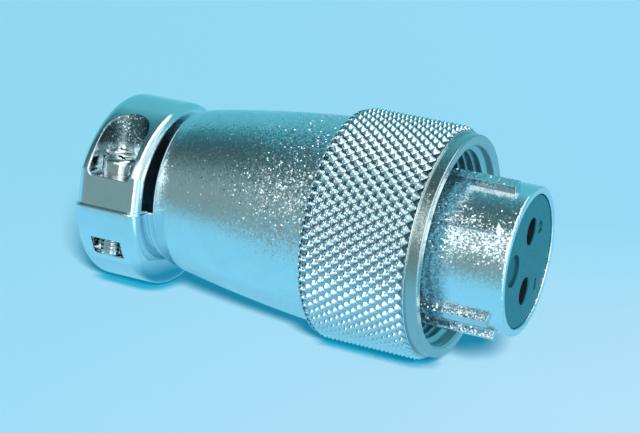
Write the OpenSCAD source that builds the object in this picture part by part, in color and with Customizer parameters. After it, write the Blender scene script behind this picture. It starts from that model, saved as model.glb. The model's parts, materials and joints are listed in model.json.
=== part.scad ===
// Two-contact circular cable connector: a keyed plug with a knurled coupling
// ring, a tapered backshell and a screwed saddle clamp for the cable.
// The connector axis lies along X, with the mating end towards +X, and Z is up.
// The origin is the centre of the coupling ring's mouth. Sizes are in millimetres.

/* [Coupling ring] */
// Diameter over the knurl
ring_d = 27; // [26.2:0.1:30]
// Length from the mouth to the rear face
ring_len = 14; // [13.4:0.1:17]
// Wall from the coupling thread to the tips of the knurl
ring_wall = 2; // [1.8:0.05:2.2]
// Depth of the coupling thread
thread_depth = 0.6; // [0.4:0.05:0.8]
// Length of the plain band in front of the knurl
band_len = 1.4; // [1:0.1:2.5]
// How far the knurl stands above the plain band
knurl_rise = 0.75; // [0.6:0.05:0.9]
// Depth of the knurl
knurl_depth = 0.5; // [0.3:0.05:0.55]
// Number of diamonds around the ring
knurl_count = 64; // [48:1:70]
// Number of half diamonds along the ring
knurl_rows = 16; // [10:1:18]
// Rounding of the ring's outer edges
ring_edge = 0.2; // [0.15:0.05:0.5]
// Length of the inner lip that turns on the hub
lip_len = 3.3; // [2.4:0.1:3.8]
// Width of the face where the lip meets the flange
lip_overlap = 0.9; // [0.6:0.1:1.1]

/* [Plug shell] */
// How far the barrel stands out of the ring
barrel_reach = 8.2; // [7:0.1:11]
// Wall of the threaded spigot
spigot_wall = 1.47; // [1.4:0.01:1.7]
// Wall of the barrel
barrel_wall = 0.9; // [0.85:0.05:1.2]
// Rounding of the barrel's nose
nose_round = 0.3; // [0.2:0.05:0.6]
// Thickness of the flange
flange_len = 1.6; // [1.2:0.1:2]
// Length of the threaded spigot behind the hub
spigot_len = 6.4; // [5:0.1:8]
// Step from the hub down to the spigot
spigot_step = 0.5; // [0.3:0.05:0.6]
// Height of the keys above the barrel
key_height = 0.85; // [0.5:0.05:1.1]
// Length of the keys
key_len = 9.6; // [8:0.1:11]
// Width of the minor keys
key_w = 1.1; // [0.8:0.1:1.6]
// Width of the main key
main_key_w = 1.6; // [1.2:0.1:2.4]
// Distance from the nose to the front of the keys
key_setback = 1.7; // [1:0.1:3]
// Angle of the main key about the axis
main_key_angle = 109; // [60:1:130]

/* [Insert and contacts] */
// How far the insert sits behind the nose
insert_recess = 0.2; // [0.1:0.05:0.6]
// Length of the insert in the barrel
insert_len = 12; // [11:0.1:12.6]
// Height of the insert's shoulder
shoulder_step = 0.3; // [0.2:0.05:0.4]
// Length of the insert's shoulder
shoulder_len = 2.5; // [2:0.1:3]
// Length of the rear insert
rear_insert_len = 5.8; // [5:0.1:6.4]
// Distance between the two contacts
contact_pitch = 6.9; // [6.4:0.1:7.6]
// Angle of the contact line about the axis
contact_angle = 94.5; // [60:0.5:120]
// Diameter of the mating pin
pin_d = 2.5; // [2:0.1:2.8]
// Diameter of the entry holes in the insert
entry_d = 3.2; // [3:0.1:3.4]
// Wall of the pin sockets
socket_wall = 0.7; // [0.5:0.05:0.8]
// Depth of the pin sockets
socket_depth = 9; // [7:0.1:9.4]
// How far the contacts sit behind the insert's face
contact_recess = 1.6; // [1:0.1:2.4]
// Thickness of the contact collars
collar_t = 1.2; // [0.8:0.1:1.6]
// Length of the contact tails behind the collars
tail_len = 12; // [10:0.1:14]
// Diameter of the contact tails
tail_d = 3.4; // [3:0.1:3.8]
// Depth of the solder cups
cup_depth = 4.2; // [3:0.1:5]
// Thickness of the clip that holds the inserts
clip_t = 0.9; // [0.7:0.1:1.2]
// Thickness of the gasket in front of the flange
gasket_t = 1.2; // [0.8:0.1:1.6]

/* [Backshell] */
// Length of the tapered body
shell_len = 20.35; // [18:0.05:26]
// Diameter at the front
shell_front_d = 24.3; // [23.4:0.1:25.6]
// Diameter at the rear
shell_rear_d = 18.6; // [18:0.1:21]
// How far the side swells beyond a straight taper
shell_bulge = 0.3; // [0:0.05:0.6]
// Wall of the body
shell_wall = 1.8; // [1.4:0.1:2]
// Wall behind the wiring space
end_wall = 2; // [1.5:0.1:3]
// Rounding of the rear edge
shell_edge = 0.6; // [0.3:0.1:1]

/* [Cable clamp] */
// Roll of the clamp about the axis
clamp_roll = 0; // [-20:1:20]
// Gap between the backshell and the clamp
clamp_gap = 0.75; // [0.6:0.05:3]
// Length of the clamp along the cable
clamp_len = 8.1; // [7.4:0.1:10]
// Radius of the fixed saddle
saddle_r = 12; // [11.7:0.1:13]
// Radius of the moving saddle about its parting face
top_r = 12.05; // [11.8:0.05:12.6]
// Half the width between the side flats of the moving saddle
flat_half_w = 11.3; // [11:0.1:11.4]
// How far the parting face lies below the axis
parting_drop = 2.2; // [1.8:0.1:2.6]
// Rounding of the front edge of the moving saddle
clamp_edge = 1.1; // [0.3:0.1:1.3]
// Rounding of the other edges of the clamp
saddle_edge = 1.2; // [0.6:0.1:1.3]
// Radius of the neck that carries the fixed saddle
neck_r = 8.6; // [8:0.1:8.8]
// Diameter of the cable
cable_d = 8; // [7:0.1:8.2]
// Wall of the cable bushing
bushing_wall = 1; // [0.8:0.1:1.1]
// Height of the bushing's flange
bushing_flange = 1.4; // [1:0.1:2]

/* [Clamp screws] */
// Thread diameter
screw_d = 2.5; // [2.2:0.1:2.6]
// Depth of the screw thread
screw_thread = 0.22; // [0.15:0.01:0.28]
// Length under the head
screw_len = 9.9; // [8:0.1:9.9]
// Head diameter
screw_head_d = 4.2; // [4:0.1:4.7]
// Head height
screw_head_h = 1.6; // [1.4:0.1:2.4]
// Distance of each screw from the axis
screw_offset = 8.6; // [8.4:0.1:8.7]
// Radius of the head pockets
pocket_r = 2.7; // [2.6:0.05:2.75]
// Height of the pocket floor above the parting face
pocket_floor = 3.6; // [3:0.1:4.2]
// Width of the windows that show the screw ends
window_w = 3.9; // [3:0.1:4.6]
// Height of the windows
window_h = 2.1; // [1.8:0.1:2.4]
// Depth of the windows' upper edge below the parting face
window_drop = 3.7; // [3:0.1:4]
// Thickness of the lock washers
washer_t = 0.6; // [0.4:0.05:0.8]

/* [Hidden] */
$fn = 96;

// Clearances, and the overlap that joins or cuts cleanly
seat_gap = 0.05;
run_gap = 0.08;
free_gap = 0.3;
axial_play = 0.15;
over = 0.5;

// Stations along the axis, counted from the ring's mouth
nose_x = barrel_reach;
key_front_x = nose_x - key_setback;
ring_rear_x = -ring_len;
lip_front_x = ring_rear_x + lip_len;
flange_rear_x = lip_front_x + axial_play;
flange_front_x = flange_rear_x + flange_len;
hub_rear_x = ring_rear_x - axial_play;
spigot_rear_x = hub_rear_x - spigot_len;
insert_face_x = nose_x - insert_recess;
shoulder_x = insert_face_x - insert_len;
insert_joint_x = shoulder_x - shoulder_len;
clip_front_x = insert_joint_x - rear_insert_len;
clip_rear_x = clip_front_x - clip_t;
contact_tip_x = insert_face_x - contact_recess;
collar_front_x = insert_joint_x + collar_t;
tail_rear_x = insert_joint_x - tail_len;
shell_rear_x = hub_rear_x - shell_len;
cavity_front_x = spigot_rear_x - free_gap;
cavity_rear_x = shell_rear_x + end_wall;
clamp_front_x = shell_rear_x - clamp_gap;
clamp_rear_x = clamp_front_x - clamp_len;
screw_x = (clamp_front_x + clamp_rear_x) / 2;

// Radii of the plug shell
thread_r = ring_d / 2 - ring_wall;
flange_r = thread_r - thread_depth - run_gap;
hub_r = flange_r - lip_overlap;
spigot_r = hub_r - spigot_step;
rear_bore_r = spigot_r - spigot_wall;
shoulder_r = rear_bore_r - seat_gap;
bore_r = rear_bore_r - shoulder_step;
insert_r = bore_r - seat_gap;
barrel_r = insert_r + barrel_wall;
nose_chamfer = 0.1;
spigot_chamfer = 0.4;
key_angles = [41, 114.5, 140, 257];

// Seal groove behind the hub, and the clip's groove in the rear bore
seal_groove_depth = 0.8;
seal_groove_r = spigot_r - seal_groove_depth;
seal_setback = 0.6;
seal_squeeze = 0.02;
clip_bite = 0.5;
clip_groove_r = rear_bore_r + clip_bite;
clip_band = 1.8;
clip_opening = 30;

// Radii of the contacts
socket_r = pin_d / 2 + 0.02;
contact_r = socket_r + socket_wall;
collar_r = contact_r + 0.6;
tail_r = tail_d / 2;
cup_r = tail_r - 0.5;
slot_w = 0.4;
slot_len = socket_depth - 1.5;
tip_chamfer = 0.2;
spot_r = 1.8;
spot_depth = 0.25;
spot_margin = 0.95;
spot_offset = insert_r - spot_r - spot_margin;

// Coupling ring
mouth_chamfer = 0.25;
lip_bore_r = hub_r + run_gap;
knurl_peak_r = ring_d / 2;
knurl_valley_r = knurl_peak_r - knurl_depth;
band_r = knurl_peak_r - knurl_rise;
rear_rim_len = ring_edge + 0.05;
knurl_margin = 0.1;
knurl_front_x = -band_len - knurl_margin;
knurl_rear_x = ring_rear_x + rear_rim_len + knurl_margin;
knurl_steps = 2 * knurl_count;

// Backshell and cable bushing
shell_bore_r = spigot_r + seat_gap;
bushing_r = cable_d / 2 + bushing_wall;
cable_hole_r = bushing_r + seat_gap;
channel_r = bushing_r + free_gap;
bushing_flange_t = 1.2;
taper_steps = 10;
cavity_rear_r = taper_r((hub_rear_x - cavity_rear_x) / shell_len) - shell_wall;

// Clamp screws, in the clamp's own rolled frame
parting_z = -parting_drop;
floor_z = parting_z + pocket_floor;
screw_seat_z = floor_z + washer_t;
screw_tip_z = screw_seat_z - screw_len;
window_top_z = parting_z - window_drop;
window_floor_z = window_top_z - window_h;
screw_r = screw_d / 2;
core_r = screw_r - screw_thread;
tapped_r = screw_r + seat_gap;
clearance_r = screw_r + 0.2;
washer_r = screw_head_d / 2 - 0.2;
hole_end_z = min(window_floor_z, screw_tip_z - run_gap);
pocket_fillet = pocket_r - washer_r - 0.15;
recess_w = 0.55;
recess_len = 2.4;
recess_depth = 0.9;
head_round = 0.7;

// Points along a round stretch of an outline
function arc(centre, r, from, to, steps = 6) =
    [for (i = [0 : steps]) let (a = from + (to - from) * i / steps)
        centre + r * [cos(a), sin(a)]];

// Radius of the backshell at a share of its length, with the swell of its side
function taper_r(t) = (shell_front_d + (shell_rear_d - shell_front_d) * t) / 2 + 4 * shell_bulge * t * (1 - t);

// Turns an outline of [radius, station] points about the connector axis
module turned(outline) rotate([90, 0, 90]) rotate_extrude() polygon(outline);

// A round bar along the connector axis
module bar(r, from_x, to_x)
    translate([from_x, 0, 0]) rotate([0, 90, 0]) cylinder(r = r, h = to_x - from_x);

// Places a shape on the axis of contact 1 or 2
module at_contact(number)
    rotate([contact_angle + 180 * number, 0, 0]) translate([0, contact_pitch / 2, 0]) children();

// Places a shape in the clamp's frame
module in_clamp() rotate([-clamp_roll, 0, 0]) children();

// Places a shape on a clamp screw's axis, with side -1 for left and 1 for right
module at_screw(side) in_clamp() translate([screw_x, side * screw_offset, 0]) children();

// Outline of the clamp's length about an axis, with its rear and front edges rounded
function rounded_ring(inner_r, outer_r, rear_edge, front_edge) = concat(
    [[inner_r, clamp_rear_x]],
    arc([outer_r - rear_edge, clamp_rear_x + rear_edge], rear_edge, -90, 0),
    arc([outer_r - front_edge, clamp_front_x - front_edge], front_edge, 0, 90),
    [[inner_r, clamp_front_x]]);

module key(angle, w)
    rotate([main_key_angle + angle, 0, 0])
        translate([key_front_x - key_len, barrel_r - over, -w / 2])
            cube([key_len, over + key_height, w]);

module plug_shell() color("gainsboro") {
    groove_front_x = hub_rear_x - seal_setback;
    groove_rear_x = groove_front_x - seal_groove_depth - free_gap;
    turned(concat(
        [[bore_r, shoulder_x], [bore_r, nose_x - nose_chamfer], [bore_r + nose_chamfer, nose_x]],
        arc([barrel_r - nose_round, nose_x - nose_round], nose_round, 90, 0),
        [[barrel_r, flange_front_x], [flange_r, flange_front_x], [flange_r, flange_rear_x],
         [hub_r, flange_rear_x], [hub_r, hub_rear_x], [spigot_r, hub_rear_x],
         [spigot_r, groove_front_x], [seal_groove_r, groove_front_x],
         [seal_groove_r, groove_rear_x], [spigot_r, groove_rear_x],
         [spigot_r, spigot_rear_x + spigot_chamfer], [spigot_r - spigot_chamfer, spigot_rear_x],
         [rear_bore_r, spigot_rear_x], [rear_bore_r, clip_rear_x], [clip_groove_r, clip_rear_x],
         [clip_groove_r, clip_front_x], [rear_bore_r, clip_front_x], [rear_bore_r, shoulder_x]]));
    key(0, main_key_w);
    for (angle = key_angles) key(angle, key_w);
}

module front_insert() color("teal") difference() {
    turned([[0, insert_joint_x], [shoulder_r, insert_joint_x], [shoulder_r, shoulder_x],
            [insert_r, shoulder_x], [insert_r, insert_face_x - nose_chamfer],
            [insert_r - nose_chamfer, insert_face_x], [0, insert_face_x]]);
    for (number = [1, 2]) at_contact(number) {
        bar(entry_d / 2, contact_tip_x, insert_face_x + over);
        bar(contact_r + seat_gap, collar_front_x - over, contact_tip_x + seat_gap);
        bar(collar_r + seat_gap, insert_joint_x - over, collar_front_x);
    }
    rotate([contact_angle + 90, 0, 0]) translate([0, spot_offset, 0])
        bar(spot_r, insert_face_x - spot_depth, insert_face_x + over);
}

module rear_insert() color("darkslategray") difference() {
    bar(shoulder_r, clip_front_x, insert_joint_x);
    for (number = [1, 2]) at_contact(number)
        bar(tail_r + seat_gap, clip_front_x - over, insert_joint_x + over);
}

// A turned contact with a slotted pin socket, a collar and an open solder cup
module socket_contact(number) color("silver") at_contact(number) difference() {
    turned([[0, tail_rear_x], [tail_r, tail_rear_x], [tail_r, insert_joint_x],
            [collar_r, insert_joint_x], [collar_r, collar_front_x], [contact_r, collar_front_x],
            [contact_r, contact_tip_x - tip_chamfer], [contact_r - tip_chamfer, contact_tip_x],
            [0, contact_tip_x]]);
    bar(socket_r, contact_tip_x - socket_depth, contact_tip_x + over);
    translate([contact_tip_x - slot_len, -slot_w / 2, -collar_r])
        cube([slot_len + over, slot_w, 2 * collar_r]);
    bar(cup_r, tail_rear_x - over, tail_rear_x + cup_depth);
    translate([tail_rear_x - over, 0, -collar_r])
        cube([over + cup_depth - cup_r, collar_r, 2 * collar_r]);
}

module socket_contact_1() socket_contact(1);

module socket_contact_2() socket_contact(2);

module insert_clip() color("dimgray") difference() {
    bar(clip_groove_r - seat_gap, clip_rear_x, clip_front_x);
    bar(clip_groove_r - clip_band, clip_rear_x - over, clip_front_x + over);
    rotate([clip_opening / 2, 0, 0]) translate([clip_rear_x - over, 0, 0])
        rotate([90, 0, 90]) linear_extrude(clip_t + 2 * over)
            polygon(2 * clip_groove_r * [[0, 0], [1, -tan(clip_opening)], [1, 0]]);
}

module face_gasket() color("black")
    turned([[barrel_r + seat_gap, flange_front_x], [flange_r - run_gap, flange_front_x],
            [flange_r - run_gap, flange_front_x + gasket_t],
            [barrel_r + seat_gap, flange_front_x + gasket_t]]);

module shell_seal() color("black") {
    section_r = (shell_bore_r - seal_groove_r) / 2 - seal_squeeze;
    seal_x = hub_rear_x - seal_setback - (seal_groove_depth + free_gap) / 2;
    rotate([90, 0, 90]) translate([0, 0, seal_x]) rotate_extrude()
        translate([(shell_bore_r + seal_groove_r) / 2, 0]) circle(section_r, $fn = 32);
}

// Diamond knurl: rows of peaks and valleys that alternate around and along the ring
module knurl_body() {
    row_x = concat(
        [-band_len],
        [for (row = [0 : knurl_rows])
            knurl_front_x + (knurl_rear_x - knurl_front_x) * row / knurl_rows],
        [knurl_rear_x - 2 * knurl_margin]);
    last = len(row_x) - 1;
    function is_high(row, k) = (row + k) % 2 == 1;
    function is_peak(row, k) = row > 1 && row < last - 1 && is_high(row, k);
    function id(row, k) = row * knurl_steps + k % knurl_steps;
    points = [for (row = [0 : last], k = [0 : knurl_steps - 1])
        let (r = is_peak(row, k) ? knurl_peak_r : knurl_valley_r, a = 360 * k / knurl_steps)
            [row_x[row], r * cos(a), r * sin(a)]];
    sides = [for (row = [0 : last - 1], k = [0 : knurl_steps - 1], half = [0, 1])
        let (a = id(row, k), b = id(row, k + 1), c = id(row + 1, k), d = id(row + 1, k + 1))
            is_high(row, k) ? (half == 0 ? [a, b, c] : [b, d, c])
                            : (half == 0 ? [a, b, d] : [a, d, c])];
    front_cap = [for (k = [knurl_steps - 1 : -1 : 0]) id(0, k)];
    rear_cap = [for (k = [0 : knurl_steps - 1]) id(last, k)];
    polyhedron(points, concat(sides, [front_cap, rear_cap]));
}

module coupling_ring() color("silver") difference() {
    union() {
        turned(concat([[0, 0]], arc([band_r - ring_edge, -ring_edge], ring_edge, 90, 0),
            [[band_r, -band_len - over], [0, -band_len - over]]));
        knurl_body();
        turned(concat([[0, ring_rear_x]],
            arc([knurl_valley_r + knurl_margin - ring_edge, ring_rear_x + ring_edge], ring_edge, -90, 0),
            [[knurl_valley_r + knurl_margin, ring_rear_x + rear_rim_len], [0, ring_rear_x + rear_rim_len]]));
    }
    turned([[0, over], [thread_r + mouth_chamfer, over], [thread_r + mouth_chamfer, 0],
            [thread_r, -mouth_chamfer], [thread_r, lip_front_x], [lip_bore_r, lip_front_x],
            [lip_bore_r, ring_rear_x - over], [0, ring_rear_x - over]]);
}

module backshell() color("lightsteelblue") difference() {
    union() {
        turned(concat(
            [[cable_hole_r, cavity_rear_x], [cavity_rear_r, cavity_rear_x],
             [shell_bore_r, cavity_front_x], [shell_bore_r, hub_rear_x]],
            [for (i = [0 : taper_steps - 1])
                [taper_r(i / taper_steps), hub_rear_x - shell_len * i / taper_steps]],
            arc([shell_rear_d / 2 - shell_edge, shell_rear_x + shell_edge], shell_edge, 0, -90),
            [[cable_hole_r, shell_rear_x]]));
        in_clamp() intersection() {
            union() {
                turned(rounded_ring(channel_r, saddle_r, saddle_edge, saddle_edge));
                turned([[channel_r, clamp_front_x - over], [neck_r, clamp_front_x - over],
                        [neck_r, shell_rear_x + over], [channel_r, shell_rear_x + over]]);
            }
            translate([clamp_rear_x - over, -2 * saddle_r, parting_z - 2 * saddle_r])
                cube([clamp_len + clamp_gap + 3 * over, 4 * saddle_r, 2 * saddle_r]);
        }
    }
    for (side = [-1, 1]) at_screw(side) {
        translate([0, 0, hole_end_z]) cylinder(r = tapped_r, h = screw_len);
        translate([-window_w / 2, side > 0 ? -screw_r : -saddle_r, window_floor_z])
            cube([window_w, saddle_r + screw_r, window_h]);
    }
}

module cable_bushing() color("black") turned([
    [cable_d / 2, clamp_rear_x], [bushing_r, clamp_rear_x], [bushing_r, cavity_rear_x],
    [bushing_r + bushing_flange, cavity_rear_x],
    [bushing_r + bushing_flange, cavity_rear_x + bushing_flange_t],
    [cable_d / 2, cavity_rear_x + bushing_flange_t]]);

// Room for a screw head: a round pocket with a filleted floor, open to the side
module head_pocket(side) {
    fillet_r = pocket_r - pocket_fillet;
    wall = concat(arc([fillet_r, pocket_fillet], pocket_fillet, -90, 0), [[pocket_r, top_r]]);
    rotate_extrude() polygon(concat([[0, 0]], wall, [[0, top_r]]));
    translate([0, side > 0 ? top_r : 0, 0]) rotate([90, 0, 0]) linear_extrude(top_r)
        polygon(concat(wall, [[-pocket_r, top_r]], arc([-fillet_r, pocket_fillet], pocket_fillet, 180, 270)));
}

module clamp_saddle() color("whitesmoke") {
    front = [clamp_front_x - clamp_edge, flat_half_w - clamp_edge];
    rear = [clamp_rear_x + saddle_edge, flat_half_w - saddle_edge];
    in_clamp() difference() {
        intersection() {
            translate([0, 0, parting_z])
                turned(rounded_ring(0, top_r, saddle_edge, clamp_edge));
            translate([0, 0, parting_z]) linear_extrude(top_r + over) polygon(concat(
                arc([front.x, front.y], clamp_edge, 0, 90),
                arc([rear.x, rear.y], saddle_edge, 90, 180),
                arc([rear.x, -rear.y], saddle_edge, 180, 270),
                arc([front.x, -front.y], clamp_edge, 270, 360)));
        }
        bar(channel_r, clamp_rear_x - over, clamp_front_x + over);
        translate([clamp_rear_x - over, -channel_r, parting_z - over])
            cube([clamp_len + 2 * over, 2 * channel_r, parting_drop + over]);
        for (side = [-1, 1]) translate([screw_x, side * screw_offset, 0]) {
            translate([0, 0, parting_z - over]) cylinder(r = clearance_r, h = pocket_floor + 2 * over);
            translate([0, 0, floor_z]) head_pocket(side);
        }
    }
}

module clamp_screw(side) color("lightgray") at_screw(side) {
    head_r = screw_head_d / 2;
    top_z = screw_seat_z + screw_head_h;
    difference() {
        rotate_extrude() polygon(concat(
            [[0, screw_tip_z], [core_r - tip_chamfer, screw_tip_z], [core_r, screw_tip_z + tip_chamfer],
             [core_r, screw_seat_z], [head_r, screw_seat_z]],
            arc([head_r - head_round, top_z - head_round], head_round, 0, 90),
            [[0, top_z]]));
        for (turn = [45, 135]) rotate([0, 0, turn])
            translate([-recess_len / 2, -recess_w / 2, top_z - recess_depth])
                cube([recess_len, recess_w, recess_depth + over]);
    }
}

module clamp_screw_left() clamp_screw(-1);

module clamp_screw_right() clamp_screw(1);

module lock_washer(side) color("gray") at_screw(side) translate([0, 0, floor_z]) difference() {
    cylinder(r = washer_r, h = washer_t);
    translate([0, 0, -over]) cylinder(r = clearance_r, h = washer_t + 2 * over);
    translate([0, -slot_w / 2, -over]) cube([washer_r + over, slot_w, washer_t + 2 * over]);
}

module lock_washer_left() lock_washer(-1);

module lock_washer_right() lock_washer(1);

plug_shell();
front_insert();
rear_insert();
socket_contact_1();
socket_contact_2();
insert_clip();
face_gasket();
shell_seal();
coupling_ring();
backshell();
cable_bushing();
clamp_saddle();
clamp_screw_left();
clamp_screw_right();
lock_washer_left();
lock_washer_right();
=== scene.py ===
"""A circular cable connector on a pale floor: plated metal, a teal insert, threads and contact numerals."""
import json
import math

import bpy
from mathutils import Matrix, Vector


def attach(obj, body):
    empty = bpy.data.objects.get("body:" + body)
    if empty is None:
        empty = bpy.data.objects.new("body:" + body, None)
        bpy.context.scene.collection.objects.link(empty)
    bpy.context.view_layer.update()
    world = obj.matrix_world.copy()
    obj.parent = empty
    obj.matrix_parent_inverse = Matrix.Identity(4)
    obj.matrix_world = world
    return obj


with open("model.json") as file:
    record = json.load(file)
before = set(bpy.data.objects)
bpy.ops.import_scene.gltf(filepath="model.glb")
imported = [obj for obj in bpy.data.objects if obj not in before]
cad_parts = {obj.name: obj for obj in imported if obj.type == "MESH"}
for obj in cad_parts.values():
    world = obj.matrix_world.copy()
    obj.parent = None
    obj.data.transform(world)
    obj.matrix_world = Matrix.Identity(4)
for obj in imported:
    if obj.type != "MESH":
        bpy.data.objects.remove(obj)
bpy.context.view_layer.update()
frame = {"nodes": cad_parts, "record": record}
MM = 0.001


def corners(node):
    """The low and the high corner of a solid, in millimetres, rounded to a micron."""
    points = frame["nodes"][node].bound_box
    return [[round(pick(point[k] for point in points) / MM, 3) for k in range(3)] for pick in (min, max)]


# Places that are read from the solids and mounts, in millimetres
(RING_REAR, _, _), (RING_MOUTH, KNURL_R, _) = corners("coupling_ring")
(screw_rear, screw_inner, SCREW_TIP), (screw_front, screw_outer, _) = corners("clamp_screw_right")
SCREW_X, SCREW_Y = (screw_rear + screw_front) / 2, (screw_inner + screw_outer) / 2
_, (_, _, SCREW_SEAT) = corners("lock_washer_right")
_, (INSERT_FACE, _, _) = corners("front_insert")
_, (SADDLE_FRONT, _, _) = corners("clamp_saddle")
bores = [mount["pos_m"] for mount in frame["record"]["mounts"] if mount["kind"] == "bore"]
CONTACTS = [[value / MM for value in place] for place in bores]

# Sizes and places that go with the part's source, in millimetres
BAND_END = RING_MOUTH - 1.42
MOUTH_R = 12.4
KNURL_FRONT, KNURL_REAR = RING_MOUTH - 1.5, RING_REAR + 0.35
KNURL_ROWS, KNURL_COUNT = 16, 64
BARREL_R = 8.5
ENTRY_R = 1.6
SPOT, SPOT_R = (-4.835, -0.381), 1.85
POCKET_R = 2.7
# In the neck between the tapered body and its saddle
SADDLE_START = SADDLE_FRONT + 0.35


# Materials

class Shade:
    """A principled material and short ways to add nodes to it."""

    def __init__(self, name, color, rough, metallic=0.0, specular=0.5):
        self.mat = bpy.data.materials.new(name)
        self.mat.use_nodes = True
        self.tree = self.mat.node_tree
        self.bsdf = self.tree.nodes["Principled BSDF"]
        self.bsdf.inputs["Base Color"].default_value = (*color, 1)
        self.bsdf.inputs["Roughness"].default_value = rough
        self.bsdf.inputs["Metallic"].default_value = metallic
        self.bsdf.inputs["Specular IOR Level"].default_value = specular
        place = self.node("ShaderNodeTexCoord").outputs["Object"]
        self.mm = self.vector("SCALE", place, scale=1 / MM)

    def node(self, kind, **settings):
        made = self.tree.nodes.new(kind)
        for key, value in settings.items():
            setattr(made, key, value)
        return made

    def put(self, socket, value):
        if isinstance(value, bpy.types.NodeSocket):
            self.tree.links.new(value, socket)
        else:
            socket.default_value = value

    def set(self, socket, value):
        self.put(self.bsdf.inputs[socket], value)

    def math(self, op, a, b=0.0, c=0.0):
        made = self.node("ShaderNodeMath", operation=op)
        for socket, value in zip(made.inputs, (a, b, c)):
            self.put(socket, value)
        return made.outputs[0]

    def times(self, a, b):
        return self.math("MULTIPLY", a, b)

    def line(self, value, slope, start):
        """start + slope * value."""
        return self.math("MULTIPLY_ADD", value, slope, start)

    def above(self, value, limit):
        return self.math("GREATER_THAN", value, limit)

    def below(self, value, limit):
        return self.math("LESS_THAN", value, limit)

    def squares(self, a, b):
        """The sum of the squares of a and b."""
        return self.math("ADD", self.math("POWER", a, 2.0), self.math("POWER", b, 2.0))

    def vector(self, op, a, b=None, scale=None):
        made = self.node("ShaderNodeVectorMath", operation=op)
        self.put(made.inputs[0], a)
        if b is not None:
            self.put(made.inputs[1], b)
        if scale is not None:
            self.put(made.inputs["Scale"], scale)
        gives_number = op in ("LENGTH", "DISTANCE", "DOT_PRODUCT")
        return made.outputs["Value" if gives_number else "Vector"]

    def split(self, vector):
        made = self.node("ShaderNodeSeparateXYZ")
        self.put(made.inputs[0], vector)
        return made.outputs

    def ramp(self, value, low, high, to_low=0.0, to_high=1.0):
        made = self.node("ShaderNodeMapRange")
        for socket, entry in zip(made.inputs, (value, low, high, to_low, to_high)):
            self.put(socket, entry)
        return made.outputs[0]

    def mix(self, share, a, b):
        made = self.node("ShaderNodeMix", data_type="RGBA")
        self.put(made.inputs[0], share)
        # Inputs 6 and 7 are the two colours, and output 2 is their mix
        for socket, value in ((made.inputs[6], a), (made.inputs[7], b)):
            self.put(socket, value if isinstance(value, bpy.types.NodeSocket) else (*value, 1))
        return made.outputs[2]

    def noise(self, scale, detail):
        made = self.node("ShaderNodeTexNoise")
        self.put(made.inputs["Vector"], self.mm)
        made.inputs["Scale"].default_value = scale
        made.inputs["Detail"].default_value = detail
        return made.outputs[0]

    def uneven(self, scale, detail, low=0.0, high=1.0):
        """A value that drifts between low and high over the surface."""
        return self.ramp(self.noise(scale, detail), 0.3, 0.7, low, high)

    def blotched(self, color, dark, scale, detail):
        """A colour that drifts to a darker share of itself and back."""
        return self.mix(self.uneven(scale, detail), [c * dark for c in color], color)

    def cells(self, size):
        """A random colour for each small cell of a size in millimetres."""
        made = self.node("ShaderNodeTexVoronoi")
        self.put(made.inputs["Vector"], self.mm)
        made.inputs["Scale"].default_value = 1 / size
        return made.outputs["Color"]

    def bump(self, height, distance, normal=None):
        made = self.node("ShaderNodeBump")
        made.inputs["Strength"].default_value = 1.0
        made.inputs["Distance"].default_value = distance * MM
        self.put(made.inputs["Height"], height)
        if normal is not None:
            self.put(made.inputs["Normal"], normal)
        return made.outputs[0]

    def soft_edges(self, radius):
        made = self.node("ShaderNodeBevel", samples=8)
        self.put(made.inputs["Radius"], self.times(radius, MM))
        return made.outputs[0]

    def shelter(self, reach):
        """How much of the surroundings is closed off within reach, from 0 to 1."""
        made = self.node("ShaderNodeAmbientOcclusion", samples=16)
        made.inputs["Distance"].default_value = reach * MM
        return self.ramp(made.outputs["AO"], 0.35, 0.85, 1.0, 0.0)

    def grain(self, normal, size, tilt):
        """Tilts the normal cell by cell, as the facets of a cast and plated surface do."""
        cell = self.cells(size)
        spread = self.vector("SUBTRACT", cell, (0.5, 0.5, 0.5))
        # Few cells are steep: a second random value for each cell, raised to a high power
        odd = self.math("FRACT", self.times(self.split(cell)[0], 7.3))
        steep = self.line(self.math("POWER", odd, 8.0), 2.5, 0.6)
        leaning = self.vector("SCALE", spread, scale=self.times(steep, tilt))
        return self.vector("NORMALIZE", self.vector("ADD", normal, leaning))


def across(shade):
    """The place without its part along the connector's axis."""
    return shade.vector("MULTIPLY", shade.mm, (0, 1, 1))


def from_axis(shade):
    """Distance from the connector's axis."""
    return shade.vector("LENGTH", across(shade))


SILVER = (0.78, 0.88, 0.93)
BARREL_TONE = (0.68, 0.76, 0.80)
# The plain band's darker tint is painted shade, for the darker surroundings it reflects
BAND_SHADE_TONE = (0.48, 0.555, 0.555)
# Painted shade in the knurl's grooves
GROOVE_SHADE_TONE = (0.36, 0.42, 0.45)
# A painted bluish reflection in the ring's mouth
MOUTH_REFLECTION_TONE = (0.42, 0.68, 0.74)
# Painted shade in the upper part of the screw head pockets
POCKET_SHADE_TONE = (0.15, 0.215, 0.225)
# Painted shade low on the fixed saddle's front and the neck ahead of it
NOOK_SHADE_TONE = (0.0, 0.34, 0.45)
NOOK_REACH = 10
SMOOTH_ROUGH = 0.09
KNURL_BUMP = 0.48


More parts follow.
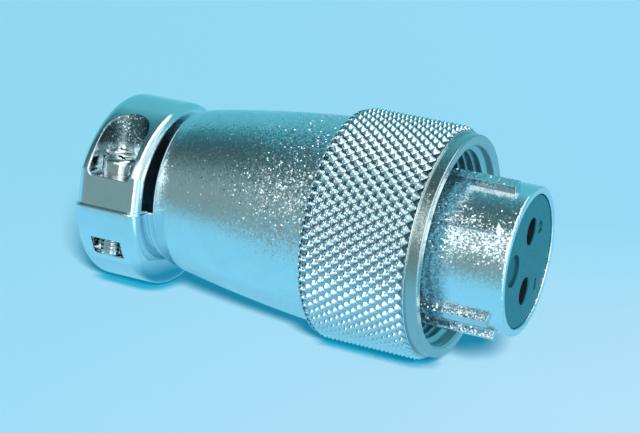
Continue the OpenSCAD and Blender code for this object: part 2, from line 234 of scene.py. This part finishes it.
def plate(name, tint, rough, grain_size, tilt, edge, smooth_edge=None, satin=None, satin_tint=None,
          relief=None, pocket_shade=None, nook_shade=None):
    """Plated zinc. satin gives where the grain shows, and the rest is smooth with its own soft edge.

    The last three give where the knurl, a dark pocket and a shaded corner are: the knurl gets painted shade
    in its grooves and a painted bluish reflection in the ring's mouth, and the pocket and the corner get
    painted shade.
    """
    shade = Shade(name, tint, rough, metallic=1.0)
    where, radius, lean = 1.0, edge, tilt
    if satin:
        where, lean = satin(shade)
        radius = shade.line(where, edge - smooth_edge, smooth_edge)
        lean = shade.times(lean, tilt)
    tone = shade.blotched(tint, 0.94, 0.35, 3)
    if satin_tint:
        tone = shade.mix(where, tone, satin_tint)
    normal = shade.soft_edges(radius)
    low = shade.line(where, rough - SMOOTH_ROUGH, SMOOTH_ROUGH)
    if relief:
        there, height = relief(shade)
        out = shade.node("ShaderNodeVectorTransform", vector_type="NORMAL",
                         convert_from="OBJECT", convert_to="WORLD")
        shade.put(out.inputs[0], shade.vector("NORMALIZE", across(shade)))
        normal = shade.mix(there, normal, shade.bump(height, KNURL_BUMP, out.outputs[0]))
        # Painted shade in the grooves: dark on the sides, less on top and least underneath
        around = shade.split(out.outputs[0])[2]
        shade_by_side = shade.times(shade.ramp(around, -0.4, 0.1, 0.2, 1.0),
                                shade.ramp(around, 0.45, 0.8, 1.0, 0.45))
        groove_shade = shade.times(shade.times(there, shade_by_side), shade.ramp(height, 0.36, 0.02))
        tone = shade.mix(groove_shade, tone, GROOVE_SHADE_TONE)
        lean = shade.line(there, 0.15, lean)
        # Painted bluish reflection in the ring's mouth, which is also rougher
        mouth = shade.times(shade.below(from_axis(shade), MOUTH_R),
                            shade.below(shade.split(shade.mm)[0], RING_MOUTH - 0.02))
        tone = shade.mix(mouth, tone, MOUTH_REFLECTION_TONE)
        low = shade.line(mouth, 0.3, low)
    # Painted shade in the pocket, with a few cells left at the plain tint
    if pocket_shade:
        inside = pocket_shade(shade)
        flake = shade.above(shade.split(shade.cells(grain_size))[1], 0.93)
        tone = shade.mix(inside, tone, shade.mix(flake, POCKET_SHADE_TONE, tint))
        low = shade.line(inside, 0.14, low)
        lean = shade.line(inside, 0.4, lean)
    # Painted shade where the surroundings are closed off
    if nook_shade:
        tone = shade.mix(shade.times(nook_shade(shade), shade.shelter(NOOK_REACH)), tone, NOOK_SHADE_TONE)
    # The grain shows less on faces that look down
    up = shade.split(shade.node("ShaderNodeNewGeometry").outputs["Normal"])[2]
    lean = shade.times(lean, shade.ramp(up, -0.2, 0.1, 0.35, 1.0))
    shade.set("Base Color", tone)
    shade.set("Roughness", shade.math("ADD", low, shade.uneven(1.3, 2, -0.02, 0.04)))
    shade.set("Normal", shade.grain(normal, grain_size, lean))
    return shade.mat


def barrel_satin(shade):
    """The barrel inside its keys, with less grain along its top and more on the keys that stand out of it."""
    out = from_axis(shade)
    key_foot, key_side = BARREL_R + 0.02, BARREL_R + 0.1
    side_z, top_z = 5.5, 7.5
    calm = shade.ramp(shade.split(shade.mm)[2], side_z, top_z, 1.0, 0.3)
    return shade.ramp(out, key_side, key_foot), shade.ramp(out, key_foot, key_side, calm, 1.3)


def ring_band(shade):
    """The plain band in front of the knurl."""
    band = shade.above(shade.split(shade.mm)[0], BAND_END)
    return band, band


def knurl(shade):
    """Where the knurl is, from 0 to 1, and the height of its rounded tips above the grooves, from 0 to 1."""
    x, y, z = shade.split(shade.mm)
    row = (KNURL_FRONT - KNURL_REAR) / KNURL_ROWS
    around = shade.times(shade.math("ARCTAN2", z, y), KNURL_COUNT)
    along = shade.times(shade.math("SUBTRACT", x, KNURL_FRONT), math.pi / row)
    height = 1.0
    for way in (1.0, -1.0):
        wave = shade.math("COSINE", shade.line(along, way, around))
        # A little under half, so that no value below zero is raised to a power
        height = shade.times(height, shade.math("POWER", shade.line(wave, 0.4999, 0.5), 0.6))
    outside = shade.above(from_axis(shade), KNURL_R - 0.7)
    within = shade.times(shade.below(x, KNURL_FRONT + 0.02), shade.above(x, KNURL_REAR - 0.32))
    return shade.times(outside, within), height


def shell_satin(shade):
    """The backshell ahead of its saddle, with a grain that grows coarser towards the ring."""
    fine_x, coarse_x = -26, -17.5
    along = shade.split(shade.mm)[0]
    ahead = shade.above(along, SADDLE_START)
    return ahead, shade.times(ahead, shade.ramp(along, fine_x, coarse_x, 0.6, 2.3))


def saddle_nook_shade(shade):
    """Where shade is painted: low down on the front of the fixed saddle and on the neck and body ahead of it.
    """
    body_x, neck_x = -25, -31
    high_z, low_z = -7.8, -10.4
    x, _, z = shade.split(shade.mm)
    along = shade.times(shade.ramp(x, SADDLE_START - 2.0, SADDLE_START - 0.8), shade.ramp(x, body_x, neck_x))
    return shade.times(along, shade.ramp(z, high_z, low_z))


def head_pocket_shade(shade):
    """Where shade is painted: the upper part of the pockets around the screw heads."""
    low_z, high_z = 4.2, 5.0
    x, y, z = shade.split(shade.mm)
    inward = shade.math("MAXIMUM", shade.math("SUBTRACT", SCREW_Y, shade.math("ABSOLUTE", y)), 0.0)
    off = shade.squares(shade.math("SUBTRACT", x, SCREW_X), inward)
    return shade.times(shade.below(off, (POCKET_R + 0.06) ** 2), shade.ramp(z, low_z, high_z))


barrel = plate("barrel_plate", BARREL_TONE, rough=0.16, grain_size=0.16, tilt=0.36, edge=0.1, smooth_edge=0.1,
               satin=barrel_satin, satin_tint=SILVER)
# The ring's plain band takes a darker tint, a painted shade
ring = plate("ring_plate", SILVER, rough=0.24, grain_size=0.12, tilt=0.16, edge=0.08, smooth_edge=0.2,
             satin=ring_band, satin_tint=BAND_SHADE_TONE, relief=knurl)
# The backshell gets painted shade low down ahead of its saddle
shell = plate("shell_plate", SILVER, rough=0.21, grain_size=0.16, tilt=0.28, edge=0.14, smooth_edge=0.35,
              satin=shell_satin, nook_shade=saddle_nook_shade)
# The clamp gets painted shade in its screw head pockets
clamp = plate("clamp_plate", SILVER, rough=0.1, grain_size=0.16, tilt=0.02, edge=0.35, pocket_shade=head_pocket_shade)


# Painted shade in the insert's entry holes
HOLE_SHADE_TONE = (0.004, 0.006, 0.008)


def insert_painted_shade(shade, tone, color):
    """The tone of the insert with painted shade: black in its entry holes and dark at the edge of its
    moulding spot's recess.
    """
    x, y, z = shade.split(shade.mm)
    # Painted shade in each entry hole
    for _, hole_y, hole_z in CONTACTS:
        off = shade.squares(shade.math("SUBTRACT", y, hole_y), shade.math("SUBTRACT", z, hole_z))
        inside = shade.times(shade.below(off, (ENTRY_R + 0.03) ** 2),
                             shade.ramp(x, INSERT_FACE - 0.02, INSERT_FACE - 0.25))
        tone = shade.mix(inside, tone, HOLE_SHADE_TONE)
    # Painted shade at the edge of the moulding spot's recess
    off = shade.vector("DISTANCE", across(shade), (0, *SPOT))
    edge = shade.times(shade.ramp(off, SPOT_R - 0.75, SPOT_R - 0.25, 0.45, 1.0), shade.below(off, SPOT_R))
    return shade.mix(edge, tone, [c * 0.3 for c in color])


def plastic(name, color, rough, marks=None):
    """Moulded plastic. marks adds what the tone shows besides its drift."""
    shade = Shade(name, color, rough, specular=0.3)
    tone = shade.blotched(color, 0.9, 0.6, 4)
    if marks:
        tone = marks(shade, tone, color)
    shade.set("Base Color", tone)
    shade.set("Roughness", shade.uneven(2.5, 3, rough - 0.06, rough + 0.06))
    shade.set("Normal", shade.bump(shade.noise(6, 3), 0.006, shade.soft_edges(0.08)))
    return shade.mat


def steel(name, tint, rough):
    """Plated or plain metal of the small pieces."""
    shade = Shade(name, tint, rough, metallic=1.0)
    shade.set("Base Color", shade.blotched(tint, 0.85, 0.9, 3))
    shade.set("Roughness", shade.uneven(3, 2, rough - 0.04, rough + 0.06))
    shade.set("Normal", shade.bump(shade.noise(5, 3), 0.004, shade.soft_edges(0.06)))
    return shade.mat


def rubber(name):
    """Matte black rubber."""
    shade = Shade(name, (0.02, 0.02, 0.022), 0.75, specular=0.3)
    dark, light = (0.014, 0.014, 0.016), (0.035, 0.035, 0.037)
    shade.set("Base Color", shade.mix(shade.uneven(1.2, 4), dark, light))
    shade.set("Roughness", shade.uneven(4, 3, 0.65, 0.85))
    shade.set("Normal", shade.bump(shade.noise(7, 3), 0.012))
    return shade.mat


# The insert gets painted shade in its entry holes and moulding spot
insert = plastic("insert", (0.004, 0.150, 0.205), 0.42, marks=insert_painted_shade)
rear_insert = plastic("rear_insert", (0.03, 0.18, 0.25), 0.45)
contact = steel("contact", (0.78, 0.76, 0.70), 0.22)
clip = steel("clip", (0.5, 0.5, 0.5), 0.35)
screw = steel("screw", (0.78, 0.79, 0.79), 0.14)
washer = steel("washer", (0.62, 0.63, 0.63), 0.28)
black = rubber("rubber")
ink = plastic("ink", (0.006, 0.012, 0.016), 0.5)

LOOKS = {
    "plug_shell": barrel, "front_insert": insert, "rear_insert": rear_insert,
    "socket_contact_1": contact, "socket_contact_2": contact, "insert_clip": clip,
    "face_gasket": black, "shell_seal": black, "coupling_ring": ring, "backshell": shell,
    "cable_bushing": black, "clamp_saddle": clamp, "clamp_screw_left": screw,
    "clamp_screw_right": screw, "lock_washer_left": washer, "lock_washer_right": washer,
}
for name, obj in frame["nodes"].items():
    obj.data.materials.clear()
    obj.data.materials.append(LOOKS[name])
    # The floor's diffuse light takes no colour from the part
    obj.visible_diffuse = False


# Threads and numerals

def thread(name, root_r, crest_r, pitch, start, end, place, look, body):
    """A helical ridge about the local Z axis from start to end, with faded ends, in millimetres."""
    steps = 72
    fade_steps = 0.4 * steps
    turns = (end - start) / pitch - 1
    count = int(turns * steps)
    root_w, crest_w = 0.46 * pitch, 0.1 * pitch
    points, faces = [], []
    for i in range(count + 1):
        angle = 2 * math.pi * i / steps
        fade = min(1.0, i / fade_steps, (count - i) / fade_steps)
        crest = root_r + (crest_r - root_r) * max(fade, 0.02)
        middle = start + pitch * (0.5 + i / steps)
        for r, w in ((root_r, -root_w), (crest, -crest_w), (crest, crest_w), (root_r, root_w)):
            point = Vector((r * math.cos(angle), r * math.sin(angle), middle + w))
            points.append(place @ point * MM)
    for i in range(count):
        a, b = 4 * i, 4 * i + 4
        faces += [(a + k, a + (k + 1) % 4, b + (k + 1) % 4, b + k) for k in range(4)]
    faces += [(3, 2, 1, 0), tuple(4 * count + k for k in range(4))]
    mesh = bpy.data.meshes.new(name)
    mesh.from_pydata(points, [], faces)
    mesh.update()
    obj = bpy.data.objects.new(name, mesh)
    bpy.context.collection.objects.link(obj)
    mesh.materials.append(look)
    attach(obj, body)


along_x = Matrix.Rotation(math.pi / 2, 4, "Y")
thread("coupling_thread", root_r=11.52, crest_r=10.93, pitch=1.0, start=RING_MOUTH - 10.4,
       end=RING_MOUTH - 0.35, place=along_x, look=ring, body="ring")
for side, label in ((-1, "left"), (1, "right")):
    at_screw = Matrix.Translation((SCREW_X, side * SCREW_Y, 0))
    thread(f"screw_thread_{label}", root_r=1.0, crest_r=1.24, pitch=0.45, start=SCREW_TIP,
           end=SCREW_SEAT - 0.4, place=at_screw, look=screw, body="saddle")


def numeral(name, digit, y, z):
    """A printed contact numeral on the insert's face, upright along the contact line."""
    height, thickness, boldness = 1.75, 0.012, 0.075
    widening = 1.35
    line_lean = math.radians(4.5)
    curve = bpy.data.curves.new(name, "FONT")
    curve.body = digit
    curve.size, curve.extrude, curve.offset = height * MM, thickness * MM, boldness * MM
    curve.align_x, curve.align_y = "CENTER", "CENTER"
    text = bpy.data.objects.new(name + "_curve", curve)
    bpy.context.collection.objects.link(text)
    bpy.context.view_layer.update()
    mesh = bpy.data.meshes.new_from_object(text.evaluated_get(bpy.context.evaluated_depsgraph_get()))
    bpy.data.objects.remove(text)
    # The text's own right, up and front become Y, Z and X
    turn = Matrix(((0, 0, 1, 0), (1, 0, 0, 0), (0, 1, 0, 0), (0, 0, 0, 1)))
    lean = Matrix.Rotation(line_lean, 4, "X")
    wide = Matrix.Diagonal((widening, 1, 1, 1))
    mesh.transform(Matrix.Translation(Vector((INSERT_FACE + 0.01, y, z)) * MM) @ lean @ turn @ wide)
    obj = bpy.data.objects.new(name, mesh)
    bpy.context.collection.objects.link(obj)
    mesh.materials.clear()
    mesh.materials.append(ink)
    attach(obj, "plug")


numeral("numeral_1", "1", y=4.12, z=-3.29)
numeral("numeral_2", "2", y=2.79, z=3.54)


# Floor

# The part lies on its ring and on its smaller saddle, so the floor is pitched
FLOOR_PLACE = (-12.7, 0, -13.52)
FLOOR_SLOPE = 0.051
FLOOR_HALF = 3000
# Painted contact shadow where the part closes off the floor's surroundings
CONTACT_SHADOW_TONE = (0.04, 0.30, 0.42)
CONTACT_REACH = 1.6
FLOOR_GLOW = (0.0, 0.225, 0.38, 1)

mesh = bpy.data.meshes.new("floor")
corner_signs = ((-1, -1), (1, -1), (1, 1), (-1, 1))
mesh.from_pydata([(x * FLOOR_HALF * MM, y * FLOOR_HALF * MM, 0) for x, y in corner_signs], [], [(0, 1, 2, 3)])
floor = bpy.data.objects.new("floor", mesh)
bpy.context.collection.objects.link(floor)
floor.location = Vector(FLOOR_PLACE) * MM
floor.rotation_euler = (0, math.atan(FLOOR_SLOPE), 0)
floor.visible_glossy = False
paper = Shade("floor_paper", (0.40, 0.45, 0.45), 0.9, specular=0.0)
# The floor is painted lighter towards the near right, a painted pool of light
near = paper.ramp(paper.vector("DOT_PRODUCT", paper.mm, (0.7, -0.71, 0)), -75, 75)
right = paper.ramp(paper.vector("DOT_PRODUCT", paper.mm, (0.9, 0.43, 0)), -60, 60)
far_tone = paper.mix(right, (0.432, 0.701, 0.758), (0.472, 0.723, 0.833))
near_tone = paper.mix(right, (0.478, 0.723, 0.860), (0.923, 0.927, 0.903))
open_tone = paper.mix(near, far_tone, near_tone)
# The floor is painted darker where the part closes it off, a painted contact shadow
paper.set("Base Color", paper.mix(paper.shelter(CONTACT_REACH), open_tone, CONTACT_SHADOW_TONE))
paper.set("Emission Color", FLOOR_GLOW)
paper.set("Emission Strength", 1.0)
mesh.materials.append(paper.mat)


# Surroundings, which the plated metal reflects

# The view and the surroundings are rolled about the connector's axis by this much
VIEW_ROLL = math.radians(18)


class Surroundings(Shade):
    """The world's colour by direction, with the same short ways to add nodes."""

    def __init__(self):
        world = bpy.data.worlds.new("studio")
        bpy.context.scene.world = world
        world.use_nodes = True
        world.cycles_visibility.diffuse = False
        self.tree = world.node_tree
        self.back = self.tree.nodes["Background"]

    def window(self, value, low, high, soft):
        """1 between low and high with soft ends, else 0."""
        ends = []
        for start, end in ((low - soft, low + soft), (high + soft, high - soft)):
            made = self.node("ShaderNodeMapRange", interpolation_type="SMOOTHSTEP")
            for socket, entry in zip(made.inputs, (value, start, end)):
                self.put(socket, entry)
            ends.append(made.outputs[0])
        return self.times(*ends)

    def lit(self, color, light, share):
        """A colour with a share of a light added."""
        return self.vector("ADD", color, self.vector("SCALE", light, scale=share))


sky = Surroundings()
rolled = sky.node("ShaderNodeVectorRotate", rotation_type="X_AXIS")
sky.put(rolled.inputs["Vector"], sky.node("ShaderNodeTexCoord").outputs["Generated"])
rolled.inputs["Angle"].default_value = -VIEW_ROLL
along, aside, upward = sky.split(rolled.outputs[0])
# Angle about the connector's axis from straight up, growing towards the viewer
angle = sky.math("DEGREES", sky.math("ARCTAN2", sky.times(aside, -1.0), upward))
# The colour of the surroundings at some of these angles
STOPS = [
    (-110, (0.25, 0.66, 0.88)), (-90, (0.14, 0.55, 0.66)), (-52, (0.115, 0.47, 0.56)),
    (-34, (0.05, 0.25, 0.30)), (-19, (0.034, 0.14, 0.17)), (-6, (0.035, 0.09, 0.105)),
    (7, (0.055, 0.11, 0.115)), (18, (0.08, 0.16, 0.16)), (28, (0.125, 0.22, 0.22)),
    (38, (0.17, 0.27, 0.275)), (48, (0.21, 0.325, 0.33)), (58, (0.23, 0.35, 0.36)),
    (72, (0.24, 0.35, 0.36)), (84, (0.22, 0.335, 0.33)), (94, (0.225, 0.43, 0.48)),
    (104, (0.24, 0.57, 0.70)), (116, (0.26, 0.70, 0.92)), (180, (0.27, 0.74, 0.98)),
]
bands = sky.node("ShaderNodeValToRGB")
sky.put(bands.inputs[0], sky.ramp(angle, -180, 180))
while len(bands.color_ramp.elements) < len(STOPS):
    bands.color_ramp.elements.new(0.5)
for stop, (degrees, _) in zip(bands.color_ramp.elements, STOPS):
    stop.position = (degrees + 180) / 360
for stop, (_, color) in zip(bands.color_ramp.elements, STOPS):
    stop.color = (*color, 1)

# Bright panels, by their angle about the axis and by how far along it they lie
WHITE = (1.0, 1.0, 1.0)
panel = sky.times(sky.window(angle, 28, 62, 8), sky.window(along, -0.36, 0.75, 0.14))
low_side = sky.times(sky.window(angle, 30, 92, 6), sky.window(along, 0.32, 0.85, 0.08))
stripes = sky.math("ADD", sky.window(along, 0.10, 0.46, 0.05), sky.window(along, 0.56, 0.85, 0.05))
high_side = sky.times(sky.window(angle, -45, 36, 6), stripes)
side_light = sky.times(sky.math("MAXIMUM", low_side, high_side), sky.ramp(along, 0.42, 0.6, 2.2, 0.8))
top = sky.times(sky.window(angle, -60, 24, 12), sky.window(along, -0.45, 0.9, 0.15))

glow = sky.lit(bands.outputs[0], WHITE, sky.times(panel, 1.1))
glow = sky.lit(glow, WHITE, side_light)
glow = sky.lit(glow, (0.6, 0.75, 0.75), sky.window(along, 0.86, 1.2, 0.06))
glow = sky.lit(glow, (0.025, 0.0425, 0.0425), top)
sky.put(sky.back.inputs["Color"], glow)


# Lights and camera

def sun(name, towards, spread, strength):
    """A soft far light from a direction. It is left out of reflections, which come from the surroundings."""
    light = bpy.data.lights.new(name, "SUN")
    light.energy, light.angle = strength, math.radians(spread)
    obj = bpy.data.objects.new(name, light)
    bpy.context.collection.objects.link(obj)
    obj.rotation_euler = Vector(towards).to_track_quat("Z", "Y").to_euler()
    obj.visible_glossy = False


sun("key", towards=(0.43, -0.81, 0.39), spread=12, strength=4.85)
sun("fill", towards=(-0.2, 0.1, 0.97), spread=120, strength=0.07)

# The camera that fits the photograph, before the roll
CAMERA_PLACE = (69.996, -184.769, 107.287)
CAMERA_AIM = (-0.37854, 0.80027, -0.46505)
CAMERA_LENS, SENSOR_WIDTH = 112.6, 36

cam_data = bpy.data.cameras.new("camera")
cam_data.lens, cam_data.sensor_width = CAMERA_LENS, SENSOR_WIDTH
cam_data.clip_start, cam_data.clip_end = 0.01, 20
camera = bpy.data.objects.new("camera", cam_data)
bpy.context.collection.objects.link(camera)
aimed = Vector(CAMERA_AIM).to_track_quat("-Z", "Y").to_matrix().to_4x4()
placed = Matrix.Translation(Vector(CAMERA_PLACE) * MM)
camera.matrix_world = Matrix.Rotation(VIEW_ROLL, 4, "X") @ placed @ aimed
bpy.context.scene.camera = camera
bpy.context.scene.view_settings.view_transform = "Standard"
